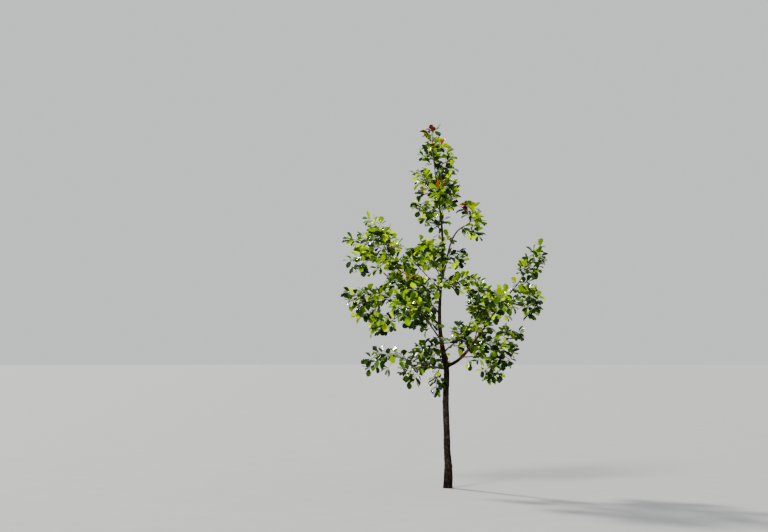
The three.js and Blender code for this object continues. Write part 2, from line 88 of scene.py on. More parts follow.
# Each bough: its name, its parent, where it leaves it (a height up the trunk or a share of the parent
# bough), the azimuth, reach and rise of its tip, and the steepness that it leaves at
BOUGHS = [
    bough("right_bough", "trunk", 1000, 6, 555, 620, 8, bend=0.22, root=14.5, tip=5),
    bough("right_hang_bough", "right_bough", 0.26, -30, 185, 10, 5),
    bough("right_low_bough", "right_bough", 0.42, 30, 260, 85, 5),
    bough("right_fore_bough", "right_bough", 0.55, -77, 270, 185, 30),
    bough("right_rear_bough", "right_bough", 0.48, 75, 245, 200, 30),
    bough("right_far_bough", "right_bough", 0.8, -39, 165, 60, 15),
    bough("left_low_bough", "trunk", 975, 190, 165, 15, 5, root=8, tip=3.8),
    bough("left_far_low_bough", "left_low_bough", 0.6, 150, 310, 75, 15),
    bough("left_mid_bough", "trunk", 1330, 176, 370, 190, 50, root=9, tip=4.2),
    bough("left_mid_fore_bough", "left_mid_bough", 0.35, 237, 160, 70, 20),
    bough("left_drop_bough", "left_mid_bough", 0.82, 232, 130, -80, -20),
    bough("left_up_bough", "trunk", 1560, 186, 330, 250, 20, root=9.5, tip=4.4),
    bough("left_far_up_bough", "left_up_bough", 0.85, 147, 245, 195, 35),
    bough("left_far_bough", "left_up_bough", 0.72, 215, 235, 100, 15),
    bough("second_stem", "trunk", 1720, 3, 200, 430, 60, arrive=18, root=8.5, tip=4.6),
    bough("fore_bough", "trunk", 1200, 243, 325, 200, 35, root=7.5, tip=3.8),
    bough("rear_right_bough", "trunk", 1100, 66, 330, 110, 30, root=7.5, tip=3.8),
    bough("rear_left_bough", "trunk", 1420, 114, 330, 170, 35, root=7.5, tip=3.8),
    bough("fore_up_bough", "trunk", 1610, 241, 290, 145, 35, root=7, tip=3.8),
    bough("rear_up_bough", "trunk", 1780, 118, 250, 125, 35, root=6.5, tip=3.6),
]

# Each mass of leaves: its name, its limb, the azimuth, reach and rise of its far end, and the width of its
# space. It grows from the limb's tip unless `at` says where. `open` is the share of its finer twigs and
# `sparse` the share of its leaves that is left out.
MASSES = [
    mass("right_top", "right_bough", 18, 300, 435, 280, open=0.35),
    mass("right_hang", "right_hang_bough", -45, 185, -210, 220, mix="shaded"),
    mass("right_under", "right_low_bough", -24, 295, -190, 270, at=0.62, mix="shaded", open=0.3,
         sparse=0.25),
    mass("right_low", "right_low_bough", 29, 310, 20, 270, mix="shaded", open=0.25),
    mass("right_inner", "right_bough", -48, 290, 60, 230, at=0.4, mix="shaded", bare=0.2, sparse=0.2),
    mass("right_fore", "right_fore_bough", -63, 345, 190, 290, open=0.2, sparse=0.15),
    mass("right_rear", "right_rear_bough", 69, 360, 140, 290, open=0.3),
    mass("right_far", "right_far_bough", -33, 330, 60, 310),
    mass("right_mid", "right_bough", 147, 50, 495, 250, at=0.62, bare=0.2),
    mass("right_up", "trunk", -20, 335, 90, 190, at=1640, bare=0.12),
    mass("left_low", "left_low_bough", 206, 275, -85, 270, mix="pale", open=0.3, sparse=0.2),
    mass("left_hang", "left_low_bough", 230, 65, -235, 170, at=0.45, mix="pale", open=0.2),
    mass("left_far_low", "left_far_low_bough", 160, 375, 0, 320, mix="pale", open=0.35, sparse=0.35),
    mass("left_fore_low", "trunk", 222, 340, 55, 240, at=1105, mix="shaded", open=0.4, sparse=0.25),
    mass("left_rear_low", "trunk", 128, 500, 60, 250, at=1030, mix="shaded", open=0.5, sparse=0.25),
    mass("left_mid", "left_mid_bough", 177, 450, 20, 380),
    mass("left_mid_fore", "left_mid_fore_bough", 226, 355, 75, 290, open=0.3, sparse=0.2),
    mass("left_inner", "trunk", 184, 290, 60, 250, at=1440, bare=0.2, sparse=0.2),
    mass("left_drop", "left_drop_bough", 213, 290, -125, 230, sparse=0.15),
    mass("left_up_low", "left_up_bough", 209, 400, 60, 230, at=0.5),
    mass("left_top", "left_up_bough", 169, 260, 450, 290, mix="sunny", open=0.2, sparse=0.1),
    mass("left_far_up", "left_far_up_bough", 154, 380, 130, 250, mix="sunny", open=0.35, sparse=0.1),
    mass("left_far", "left_far_bough", 204, 445, 50, 250, open=0.25),
    mass("left_up_inner", "trunk", 200, 155, 375, 300, at=1700, sparse=0.2),
    mass("second_top", "second_stem", 40, 120, 240, 340, mix="sunny"),
    mass("second_low", "second_stem", -30, 235, -60, 180, at=0.9),
    mass("second_side", "second_stem", -24, 190, 10, 190, at=0.36),
    mass("fore", "fore_bough", 238, 375, 90, 290, open=0.2, sparse=0.2),
    mass("rear_right", "rear_right_bough", 66, 375, 70, 290, mix="shaded", bare=0.2),
    mass("rear_left", "rear_left_bough", 114, 375, 130, 300, open=0.2),
    mass("fore_up", "fore_up_bough", 244, 350, 140, 280, open=0.2, sparse=0.2),
    mass("rear_up", "rear_up_bough", 110, 310, 120, 250, open=0.2),
    mass("leader_left", "trunk", 190, 255, 305, 220, at=2095),
    mass("crown_fore", "trunk", 262, 240, 330, 250, at=2180, mix="sunny", bare=0.2),
    mass("crown_right", "trunk", -15, 135, 330, 230, at=2230, bare=0.2),
    mass("crown_rear", "trunk", 82, 230, 330, 250, at=2290, bare=0.2),
    mass("crown_left", "trunk", 186, 200, 330, 240, at=2330, mix="sunny"),
    mass("crown_high", "trunk", -25, 140, 330, 230, at=2460, mix="sunny", bare=0.2),
    mass("crown_top", "trunk", 184, 35, 455, 270, mix="sunny", bare=0.1),
]

# Stems and twigs, by the rule of the solids
SOLID_LEAF = 122
STEM_TIP_RADIUS = 2.6
STEM_STEPS = 4
STEM_BEND = 0.35
STEM_SHORT = 0.7
TWIG_PITCH = 47
FEWEST_TWIGS = 2
LONGEST_TWIG = 190
SHORTEST_TWIG = 20
TWIGGY_FROM = 0.12
TWIGGY_SPAN = 0.8
TWIG_SHIFT = 0.4
TWIG_FACES = 3
TWIG_SPLAY = (44, 64)
TWIG_STRAY = 0.5
TWIG_FILL = (0.82, 1)
TWIG_SHORT = 0.62
WALL_STEP = 5
CLEARANCE = 0.6
BARE_STEM = 0.34
# A seed is a first number and a step from one mass, shoot or limb to the next
TWIG_SEED = (1009, 37)
SEED_FACTOR = 48271
SEED_MODULUS = 2147483647

# Twigs, and the finer ones that the solids leave out
TWIG_RADII = (2.0, 1.35)
FINE_RADII = (1.35, 0.95)
FINE_REACH = (38, 92)
FINE_SHORT = 0.45
FINE_BARE = 0.18
FINE_SEED = (7001, 53)
FIRST_FINE = 1000
# A bow: how far it goes to one side, where on the way, and how much of it comes back
TWIG_BOW = 0.05
BOW_PLACES = (0.3, 0.7)
BOW_BACK = 0.6
SPUR_RINGS = 12
SPUR_REACH = (22, 60)
SPUR_BARE = {"trunk": 0.62, "right_bough": 0.5, "left_low_bough": 1, "second_stem": 1, "other": 0.3}
SPUR_SEED = (8009, 43)
# The pitch of finer twigs and spurs, the factors it varies by, their splay, and how far short they stop
FINE_FORM = (40, (0.75, 1.25), (34, 62), 12)
SPUR_FORM = (58, (0.7, 1.3), (38, 66), 0)

# Leaves of natural size
LEAF_LENGTH = 86
LEAF_SIZES = (0.66, 1.14)
LEAF_WIDTHS = (0.88, 1.14)
LEAF_SEED = (9001, 71)
TIP_LEAVES = 5
TIP_PITCH = 3.2
TIP_SPLAY = (34, 74)
LEAF_PITCH = 27
LEAF_PITCHES = (0.8, 1.3)
LEAF_SPLAY = (46, 78)
LEAF_BARE = 0.3
LOWEST_SEAT = 0.1
SEAT_OUT = 0.6
LEAF_SPACING = 17
LEAF_CLEARANCE = 0.8
LEAF_REACH = 1.1
LEAF_TRIES = 3
TRY_SHRINK = 0.08
UPRIGHT = 0.05
# Where a leaf is tested, in leaf lengths: the spots along it, its middle, its tip and its half width
LEAF_SPOTS = (0.4, 0.68, 0.96)
LEAF_MIDDLE = 0.6
LEAF_TIP = 0.98
LEAF_HALF = 0.28
LEAF_ROLLS = (1.0, 0.8)
LEAF_DROOP = (0.0, 0.3)
LEAF_FOLDS = (0.1, 0.62)
LEAF_ARCHES = (-0.06, 0.26)
LEAF_TWIST = 0.9
ROLLED_WIDTH = 0.6
ROLLED_FOLD = 0.35
GOLDEN = math.radians(137.5)

# Where the crown is open, seen from the front: how far right of the foot, how high, and how far round
OPENINGS = [(-265, 2040, 62), (-325, 1165, 65), (560, 1325, 55), (-228, 2840, 55), (-5, 1500, 60),
            (-135, 1755, 58), (-225, 1775, 42), (115, 2700, 48), (125, 2490, 45), (235, 1240, 42),
            (585, 1690, 34)]


def part_way(ends, share):
    return ends[0] + (ends[1] - ends[0]) * share


def between(random, ends):
    return part_way(ends, random())


def astray(random, spread):
    """A number up to half the spread to either side of zero."""
    return spread * (random() - 0.5)


def clamped(value):
    return min(1.0, max(0.0, value))


def seeded(seed, number):
    """Pseudo-random numbers from 0 to 1, the same ones for the same seed and number."""
    state = seed[0] + seed[1] * number

    def draw():
        nonlocal state
        state = state * SEED_FACTOR % SEED_MODULUS
        return state / SEED_MODULUS

    return draw


def unit(vector):
    return vector / np.linalg.norm(vector)


def offset(azimuth, reach, rise):
    turn = math.radians(azimuth)
    return np.array([reach * math.cos(turn), reach * math.sin(turn), rise])


def steered(heading, steepness):
    """A unit direction with a heading's azimuth and a steepness in degrees."""
    rise = math.radians(steepness)
    level = heading[:2] / np.linalg.norm(heading[:2])
    return np.array([*(math.cos(rise) * level), math.sin(rise)])


class Line:
    """A curve: its point at a share of the way, its direction there and its length."""

    STEPS = 200
    NEAR = 1e-4

    def __init__(self, point):
        self.point = point
        places = np.array([point(i / self.STEPS) for i in range(self.STEPS + 1)])
        self.length = float(np.linalg.norm(np.diff(places, axis=0), axis=1).sum())

    def tangent(self, share):
        return unit(self.point(min(1.0, share + self.NEAR)) - self.point(max(0.0, share - self.NEAR)))


def bezier(*posts):
    """A Bezier curve of any order, by repeated halving between its posts."""

    def point(share):
        row = [np.asarray(post, float) for post in posts]
        while len(row) > 1:
            row = [a + (b - a) * share for a, b in zip(row, row[1:])]
        return row[0]

    return Line(point)


def trunk_line():
    """A smooth curve through the trunk's middle at even steps of height."""
    count = len(LEAN_RIGHT)
    step = TRUNK_HEIGHT / (count - 1)
    posts = np.array([[LEAN_RIGHT[i], LEAN_REAR[i], i * step] for i in range(count)], float)
    posts = np.vstack([2 * posts[0] - posts[1], posts, 2 * posts[-1] - posts[-2]])

    def point(share):
        place = share * (count - 1)
        i = min(int(place), count - 2)
        t = place - i
        a, b, c, d = posts[i:i + 4]
        into, out = (c - a) / 2, (d - b) / 2
        return (b + into * t + (3 * (c - b) - 2 * into - out) * t**2
                + (2 * (b - c) + into + out) * t**3)

    return Line(point)


def trunk_radius(share):
    evenly = TRUNK_BUTT_RADIUS - FORK_NARROWING - TRUNK_TIP_RADIUS
    below = FORK_NARROWING / (1 + math.exp((share * TRUNK_HEIGHT - FORK_HEIGHT) / FORK_FADE))
    return TRUNK_TIP_RADIUS + evenly * (1 - share) ** TRUNK_TAPER + below


def flared_radius(share, turn):
    lobes = 1 + FLARE_LOBE_DEPTH * np.cos(FLARE_LOBES * turn)
    return trunk_radius(share) + FLARE * lobes * math.exp(-(share * TRUNK_HEIGHT / FLARE_HEIGHT) ** 2)


def share_on(limb, at):
    """A place on a limb as a share of it."""
    return at / TRUNK_HEIGHT if limb.name == "trunk" else at


def make_bough(row, limbs):
    """A bough's line and radius, as in the solids."""
    parent = limbs[row["on"]]
    heading = offset(row["azimuth"], row["reach"], row["rise"])
    span = float(np.linalg.norm(heading))
    share = share_on(parent, row["at"])
    start = parent.line.point(share)
    tip = start + heading
    last = steered(heading, row["arrive"]) if "arrive" in row else heading / span
    settle = STEERED_SETTLE if "arrive" in row else SETTLE
    leave = steered(heading, row["leave"]) * row.get("bend", BEND) * span
    line = bezier(start, start + leave, tip - last * settle * span, tip)
    root, end = row.get("root", SIDE_BOUGH_ROOT), row.get("tip", SIDE_BOUGH_TIP)
    widest = NARROWER * parent.radius(share)

    def radius(share):
        collar = COLLAR * root * math.exp(-share * line.length / (COLLAR_FADE * root))
        return min(end + (root - end) * (1 - share) ** BOUGH_TAPER + collar, widest)

    return Item(name=row["name"], line=line, radius=radius)


def ring_frames(line, steps):
    """Two directions square to the curve at each ring, turned no more than the curve itself turns."""
    frames = []
    front = None
    for i in range(steps + 1):
        along = line.tangent(i / steps)
        if front is None:
            front = FORWARD if abs(along[2]) > STEEP else UP
        front = unit(front - along * (front @ along))
        frames.append((along, np.cross(along, front), front))
    return frames


def leaving(frames, share, turn, splay):
    """The direction that leaves a shoot at a turn round it and a splay from it."""
    along, side, front = frames[int(share * (len(frames) - 1) + 0.5)]
    out = side * math.sin(turn) + front * math.cos(turn)
    return along * math.cos(splay) + out * math.sin(splay)


trunk = Item(name="trunk", line=trunk_line(), radius=trunk_radius)
limbs = {"trunk": trunk}
for row in BOUGHS:
    limbs[row["name"]] = make_bough(row, limbs)


def make_space(row):
    """A mass's space is a long round body from its root to the end of its reach."""
    limb = limbs[row["on"]]
    goes_on = "at" not in row
    share = 1.0 if goes_on else share_on(limb, row["at"])
    heading = offset(row["azimuth"], row["reach"], row["rise"])
    length = float(np.linalg.norm(heading))
    axis = heading / length
    root = limb.line.point(share)
    return Item(
        mix=row.get("mix", "mixed"),
        bare=row.get("bare", BARE_STEM),
        open=row.get("open", 0),
        sparse=row.get("sparse", 0),
        root=root,
        first=limb.line.tangent(1.0) if goes_on else axis,
        axis=axis,
        length=length,
        centre=root + heading / 2,
        half_width=row["width"] / 2,
        root_radius=limb.radius(1.0) if goes_on else SIDE_BOUGH_TIP,
    )


spaces = [make_space(row) for row in MASSES]
# All spaces as arrays, so that one point is measured against all of them at once
CENTRES = np.array([space.centre for space in spaces])
AXES = np.array([space.axis for space in spaces])
LENGTHS = np.array([space.length for space in spaces])
HALF_WIDTHS = np.array([space.half_width for space in spaces])


def outness(point):
    """How far out a point lies in each space: 0 in its middle, 1 at its wall."""
    from_centre = point - CENTRES
    along = np.einsum("ij,ij->i", from_centre, AXES)
    away = np.sqrt(np.maximum(0, np.einsum("ij,ij->i", from_centre, from_centre) - along**2))
    return np.hypot(2 * along / LENGTHS, away / HALF_WIDTHS)


def is_own(index, point, reach=1.0):
    """True where a point lies in its mass's own space, and no deeper in another's."""
    out = outness(point)
    return out[index] <= reach and out.min() >= out[index]


def wall_distance(index, start, direction):
    """How far it is from a place to the wall of a mass's space."""
    distance = 0
    while outness(start + direction * distance)[index] < 1:
        distance += WALL_STEP
    return distance


class Wood:
    """All wood that stands so far, as balls along its lines, to find what a new piece would touch."""

    BALL_STEP = 6
    NOBODY = -1

    def __init__(self):
        self.places, self.radii, self.owners = np.zeros((0, 3)), np.zeros(0), np.zeros(0)

    def stand(self, line, radius, owner):
        count = max(2, int(line.length / self.BALL_STEP))
        shares = [i / count for i in range(count + 1)]
        self.places = np.vstack([self.places, [line.point(share) for share in shares]])
        self.radii = np.append(self.radii, [radius(share) for share in shares])
        self.owners = np.append(self.owners, np.full(count + 1, owner))

    def is_free(self, places, radius, owner=NOBODY):
        """True if no place is nearer than the clearance to wood of another owner."""
        others = self.owners != owner
        gaps = np.linalg.norm(places[:, None] - self.places[others][None], axis=2)
        return (gaps - self.radii[others] - radius).min() >= CLEARANCE


def shoot(line, radii, space, kind):
    """A stem or twig: its line, its radii from root to tip, and the rings that side shoots leave from."""
    frames = ring_frames(line, STEM_STEPS if kind == "stem" else 1)
    return Item(line=line, radii=radii, space=space, kind=kind, frames=frames, leafy=0)


def make_stem(index):
    space = spaces[index]
    reach = space.length - STEM_SHORT * SOLID_LEAF
    root = space.root
    line = bezier(root, root + space.first * STEM_BEND * reach, root + space.axis * reach)
    return shoot(line, (space.root_radius, STEM_TIP_RADIUS), index, "stem")


def make_twig(index, stem, share, face, random):
    """The two ends of one twig of a stem, by the rule of the solids, or None where it would be short."""
    splay = math.radians(between(random, TWIG_SPLAY))
    turn = (2 * face + 1) * math.pi / TWIG_FACES + astray(random, TWIG_STRAY)
    direction = leaving(stem.frames, share, turn, splay)
    start = stem.line.point(share)
    room = wall_distance(index, start, direction) - TWIG_SHORT * SOLID_LEAF
    reach = min(room, LONGEST_TWIG) * between(random, TWIG_FILL)
    if reach < SHORTEST_TWIG:
        return None
    return start, start + direction * reach


def bowed(start, end, random):
    """A line with the same ends that bows a little to one side and back, as a real twig does."""
    span = end - start
    along = unit(span)
    side = unit(np.cross(along, UP if abs(along[2]) < STEEP else RIGHT))
    turn = ROUND * random()
    out = side * math.cos(turn) + np.cross(along, side) * math.sin(turn)
    bow = out * float(np.linalg.norm(span)) * TWIG_BOW
    first, second = BOW_PLACES
    return bezier(start, start + span * first + bow, start + span * second - bow * BOW_BACK, end)


def grow_twigs():
    """Every stem and its twigs, then the finer twigs on both and along the limbs."""
    wood = Wood()
    for number, limb in enumerate(limbs.values()):
        wood.stand(limb.line, limb.radius, Wood.NOBODY - 1 - number)
    shoots = []
    for index in range(len(spaces)):
        random = seeded(TWIG_SEED, index)
        bowing = seeded(FINE_SEED, index)
        stem = make_stem(index)
        shoots.append(stem)
        wood.stand(stem.line, lambda s: part_way(stem.radii, s), index)
        count = max(FEWEST_TWIGS, int(TWIGGY_SPAN * stem.line.length / TWIG_PITCH + 0.5))
        for i in range(count):
            share = TWIGGY_FROM + TWIGGY_SPAN * (i + TWIG_SHIFT * random()) / count
            ends = make_twig(index, stem, share, i % TWIG_FACES, random)
            if ends is None or not is_own(index, ends[1]):
                continue
            line = bowed(*ends, bowing)
            if not wood.is_free(np.array([line.point(0.5), line.point(1.0)]), TWIG_RADII[0], index):
                continue
            shoots.append(shoot(line, TWIG_RADII, index, "twig"))
            wood.stand(line, lambda s: TWIG_RADII[0], index)
    fine = []
    for number, parent in enumerate(shoots):
        fine += finer_twigs(parent, seeded(FINE_SEED, FIRST_FINE + number), wood)
    for number, limb in enumerate(limbs.values()):
        bare = SPUR_BARE.get(limb.name, SPUR_BARE["other"])
        fine += spurs(limb, bare, seeded(SPUR_SEED, number), wood)
    return shoots + fine, wood


def side_seats(line, frames, bare, form, random):
    """Where side shoots leave a line, past its bare part: the share of the way, the place and the
    direction, each turned from the last by the golden angle."""
    pitch, factors, splays, short = form
    place = bare * line.length
    turn = ROUND * random()
    while place < line.length - short:
        share = place / line.length
        place += pitch * between(random, factors)
        turn += GOLDEN
        splay = math.radians(between(random, splays))
        yield share, line.point(share), leaving(frames, share, turn, splay)


def spurs(limb, bare, random, wood):
    """Short leafy shoots along a limb, which join one mass to the next."""
    frames = ring_frames(limb.line, SPUR_RINGS)
    made = []
    for share, start, direction in side_seats(limb.line, frames, bare, SPUR_FORM, random):
        end = start + direction * (limb.radius(share) + between(random, SPUR_REACH))
        if wood.is_free(np.array([end]), FINE_RADII[0]):
            made.append(shoot(bowed(start, end, random), FINE_RADII, None, "fine"))
    return made


def finer_twigs(parent, random, wood):
    """The finer twigs of a stem's outer part or of a twig."""
    index = parent.space
    bare = spaces[index].bare if parent.kind == "stem" else FINE_BARE
    made = []
    for _, start, direction in side_seats(parent.line, parent.frames, bare, FINE_FORM, random):
        room = wall_distance(index, start, direction) - FINE_SHORT * LEAF_LENGTH
        reach = min(room, between(random, FINE_REACH))
        end = start + direction * reach
        left_out = random() < spaces[index].open
        if left_out or reach < SHORTEST_TWIG or not is_own(index, end):
            continue
        if wood.is_free(np.array([end]), FINE_RADII[0]):
            made.append(shoot(bowed(start, end, random), FINE_RADII, index, "fine"))
    return made


# Leaf colours: the upper side and the underside, and the mixes they are dealt in, with painted light and
# shade among them
TINTS = {
    # deep and bright are the leaves' own darker and lighter greens, and are also dealt as painted shade and
    # painted sunlight by how lit a leaf is
    "deep": ((0.012, 0.042, 0.002), (0.03, 0.072, 0.006)),
    "middle": ((0.055, 0.135, 0.002), (0.08, 0.165, 0.006)),
    "bright": ((0.235, 0.44, 0.002), (0.24, 0.42, 0.006)),
    # This bright yellow-green is painted light: the glow of sunlight through leaves, which are opaque here
    "backlit_glow": ((0.53, 0.73, 0.002), (0.52, 0.69, 0.006)),
    # This pale grey-green is a painted reflection: the sky's sheen on level glossy leaves, on both faces
    "painted_sheen": ((0.56, 0.64, 0.44), (0.4, 0.5, 0.3)),
    "yellow": ((0.82, 0.7, 0.003), (0.72, 0.62, 0.02)),
    "orange": ((0.72, 0.15, 0.003), (0.6, 0.18, 0.015)),
    "burgundy": ((0.12, 0.008, 0.01), (0.18, 0.03, 0.022)),
}
# How strongly each colour's face shines: glossy in the shade, and less where light comes through
SHINES = {"deep": 0.5, "middle": 0.45, "bright": 0.22, "backlit_glow": 0.18, "painted_sheen": 0.6}
PLAIN_SHINE = 0.25
RIB_TINT = (0.30, 0.38, 0.06)
UPPER_ROUGHNESS = 0.2
UNDER_ROUGHNESS = 0.5
RIB_ROUGHNESS = 0.35
LEAF_SMOOTH = 55
LEAVES_PER_PIECE = 650
# The mixes: shaded has more painted shade, sunny more painted sunlight and backlit glow, and pale more
# painted sheen
MIXES = {
    "shaded": dict(deep=0.56, middle=0.24, bright=0.13, backlit_glow=0.07, painted_sheen=0.09),
    "pale": dict(deep=0.46, middle=0.20, bright=0.11, backlit_glow=0.06, painted_sheen=0.26),
    "mixed": dict(deep=0.37, middle=0.21, bright=0.20, backlit_glow=0.20, painted_sheen=0.13),
    "sunny": dict(deep=0.28, middle=0.18, bright=0.25, backlit_glow=0.27, painted_sheen=0.08),
}
# Leaves that have turned, or that stand out with a painted backlit glow or sheen: their colour, how far
# right of the foot, how high, and how many
TURNED = [
    ("burgundy", -145, 2955, 9), ("painted_sheen", -120, 2870, 3), ("orange", -25, 2885, 1),
    ("yellow", -110, 2825, 2), ("backlit_glow", -35, 2810, 4), ("burgundy", -30, 2665, 2),
    ("orange", -85, 2495, 5), ("orange", -170, 2425, 3), ("backlit_glow", -165, 2345, 6),
    ("burgundy", 140, 2300, 3), ("orange", 105, 2325, 2), ("yellow", 255, 2320, 3),
    ("backlit_glow", 230, 2300, 5), ("backlit_glow", -120, 2020, 4), ("backlit_glow", -45, 2030, 4),
    ("backlit_glow", -600, 2195, 4), ("backlit_glow", -440, 2110, 5), ("yellow", -455, 1975, 3),
    ("backlit_glow", -410, 1970, 6), ("backlit_glow", -505, 1815, 6), ("orange", -340, 1705, 2),
    ("yellow", -275, 1715, 2), ("backlit_glow", -800, 1430, 4), ("backlit_glow", 435, 1615, 8),
    ("backlit_glow", 170, 1310, 5),
]
FRONT_SHARE = 0.15
# How lit a leaf is, for its painted light and shade, from 0 to 1: in its mass's middle, and what lying
# further out and higher adds
LIT = (0.1, 0.55, 0.3)
LIT_ON_LIMB = 0.5
LEVEL_FROM = 0.5
LEVEL_SPAN = 0.4
# The factor for a colour's share where that is 0, and what is added to it up to 1
BY_LIGHT = {"deep": (1.8, -1.6), "bright": (0.5, 1.0), "backlit_glow": (0.3, 1.4)}
# Hanging leaves get more of the painted backlit glow, and level ones less
BACKLIT_GLOW_BY_LEVEL = (1.3, -0.6)
# Level leaves get more of the painted sheen, as if they mirrored the sky
PAINTED_SHEEN_BY_LEVEL = 2.2


def leaf_middle(leaf):
    return leaf.root + 0.5 * leaf.length * leaf.direction


def deal_tint(index, leaf, random):
    """A leaf's colour from its mass's mix, with painted light: darker inside and below as painted shade,
    brighter outside as painted sunlight, a painted sky sheen if level and a painted backlit glow if
    hanging.
    """
    level = clamped((leaf.upper[2] - LEVEL_FROM) / LEVEL_SPAN)
    lit = LIT_ON_LIMB
    if index is not None:
        middle = leaf_middle(leaf)
        above = (middle - CENTRES[index])[2] / HALF_WIDTHS[index]
        lit = clamped(LIT[0] + LIT[1] * outness(middle)[index] + LIT[2] * above)
    parts = dict(MIXES["mixed" if index is None else spaces[index].mix])
    for tint, (least, more) in BY_LIGHT.items():
        parts[tint] *= least + more * lit
    parts["backlit_glow"] *= BACKLIT_GLOW_BY_LEVEL[0] + BACKLIT_GLOW_BY_LEVEL[1] * level
    parts["painted_sheen"] *= PAINTED_SHEEN_BY_LEVEL * level**2
    draw = random() * sum(parts.values())
    for tint, part in parts.items():
        draw -= part
        if draw < 0:
            return tint
    return "middle"


def turn_leaves(leaves):
    """Gives the turned leaves their colour: those nearest to each place, and rather in front of it."""
    places = np.array([leaf_middle(leaf) for leaf in leaves])
    for tint, right, height, count in TURNED:
        far = np.hypot(places[:, 0] - right, places[:, 2] - height) + FRONT_SHARE * places[:, 1]
        for number in np.argsort(far)[:count]:
            leaves[number].tint = tint


def is_open(point):
    """True where the crown is open, as seen from the front."""
    return any(math.hypot(point[0] - right, point[2] - height) < far for right, height, far in OPENINGS)


def place_leaf(parent, share, turn, splays, tries, random):
    """A leaf's root, its length, and its three directions: out, to its side, and up from its upper face."""
    direction = leaving(parent.frames, share, turn, math.radians(between(random, splays)))
    direction = unit(direction - UP * between(random, LEAF_DROOP))
    side = np.cross(direction, UP)
    side = unit(side) if np.linalg.norm(side) > UPRIGHT else RIGHT
    roll = astray(random, LEAF_ROLLS[0]) + astray(random, LEAF_ROLLS[1])
    upper = np.cross(side, direction) * math.cos(roll) + side * math.sin(roll)
    root = parent.line.point(share) + direction * part_way(parent.radii, share) * SEAT_OUT
    length = LEAF_LENGTH * between(random, LEAF_SIZES) * (1 - TRY_SHRINK * tries)
    side = np.cross(direction, upper)
    return Item(root=root, direction=direction, side=side, upper=upper, length=length)


def leaf_seats(parent, random):
    """Where leaves sit on a shoot, and how they splay: crowded at its tip, then down to its bare part."""
    length = parent.line.length
    seats = [(1 - i * TIP_PITCH / length, TIP_SPLAY) for i in range(TIP_LEAVES)]
    bare = LEAF_BARE + (spaces[parent.space].bare if parent.kind == "stem" else 0)
    place = length - TIP_LEAVES * TIP_PITCH - LEAF_PITCH
    while place > bare * length:
        seats.append((place / length, LEAF_SPLAY))
        place -= LEAF_PITCH * between(random, LEAF_PITCHES)
    return [seat for seat in seats if seat[0] > LOWEST_SEAT]


def has_room(index, leaf, spots, wood, taken):
    """True for a leaf inside its mass's space and outside the openings, clear of wood and other leaves."""
    root, out, aside = leaf.root, leaf.direction, leaf.side * LEAF_HALF * leaf.length
    middle = root + out * LEAF_MIDDLE * leaf.length
    rim = [middle + aside, middle - aside]
    tip = root + out * LEAF_TIP * leaf.length
    if index is not None and not all(is_own(index, point, LEAF_REACH) for point in [tip, *rim]):
        return False
    if is_open(middle) or not wood.is_free(np.array([*spots, *rim]), LEAF_CLEARANCE):
        return False
    return not len(taken) or np.linalg.norm(taken[:, None] - spots[None], axis=2).min() >= LEAF_SPACING


def grow_leaves(shoots, wood):
    """Every leaf. One without room is tried again, turned and smaller, and is skipped in the end."""
    leaves = []
    taken = np.zeros((0, 3))
    for number, parent in enumerate(shoots):
        index = parent.space
        random = seeded(LEAF_SEED, number)
        turn = ROUND * random()
        sparse = 0 if index is None else spaces[index].sparse
        for share, splays in leaf_seats(parent, random):
            if sparse and random() < sparse:
                continue
            for tries in range(LEAF_TRIES):
                turn += GOLDEN
                leaf = place_leaf(parent, share, turn, splays, tries, random)
                reach = leaf.direction * leaf.length
                spots = np.array([leaf.root + reach * spot for spot in LEAF_SPOTS])
                if not has_room(index, leaf, spots, wood, taken):
                    continue
                taken = np.vstack([taken, spots])
                leaf.width = between(random, LEAF_WIDTHS)
                leaf.fold = between(random, LEAF_FOLDS)
                leaf.arch = between(random, LEAF_ARCHES)
                leaf.twist = astray(random, LEAF_TWIST)
                leaf.tint = deal_tint(index, leaf, random)
                # A leaf with painted sheen is drawn narrower and more folded, so that it reads as a glint
                if leaf.tint == "painted_sheen":
                    leaf.width *= ROLLED_WIDTH
                    leaf.fold += ROLLED_FOLD
                leaves.append(leaf)
                parent.leafy = max(parent.leafy, share)
                break
    turn_leaves(leaves)
    return leaves


# A leaf's outline: round lobes with round notches between them, widest past the middle, on a short stalk.
# Each point of a lobe has its place from one notch to the next, its depth in the notch, and its puff.
LOBES = 4
LOBE_POINTS = [(0.0, 1.0, -1.0), (0.1, 0.42, 0.0), (0.32, 0.05, 0.9), (0.62, 0.0, 1.0), (0.88, 0.32, 0.2)]
LOBED_FROM = 0.09
LOBED_SPAN = 0.75
STALK = 0.07
NOTCH_DEPTH = 0.38
LOBE_LEAN = 0.012
LOBE_STAGGER = 0.03
HALF_WIDTH = 0.285
WIDEST = 0.66
STALK_HALF_WIDTH = 0.011
RIB_HALF_WIDTH = 0.0075
RIB_HEIGHT = 0.006
BLADE_KEEL = 0.008
RIB_LENGTH = 1.1
RIB_SHARE = 0.6
KEEL_LENGTH = 1.15
PUFF = 0.022
WIDENING = 1.35
NARROWING = 0.92
NARROWING_POWER = 2.2
# The last lobe, at the tip: each point's place along and out, the rib's place, and the puff
TIP_LOBE = [(0.925, 0.52, 0.87, 0.2), (0.975, 0.4, 0.94, 0.5), (1.0, 0.17, 0.985, 0.6)]


def leaf_envelope(share):
    """Half the blade's width without its notches, as a share of its widest."""
    rise = clamped(share / WIDEST)
    fall = clamped((share - WIDEST) / (1 - WIDEST))
    return math.sin(0.5 * math.pi * rise) ** WIDENING * math.sqrt(1 - NARROWING * fall**NARROWING_POWER)


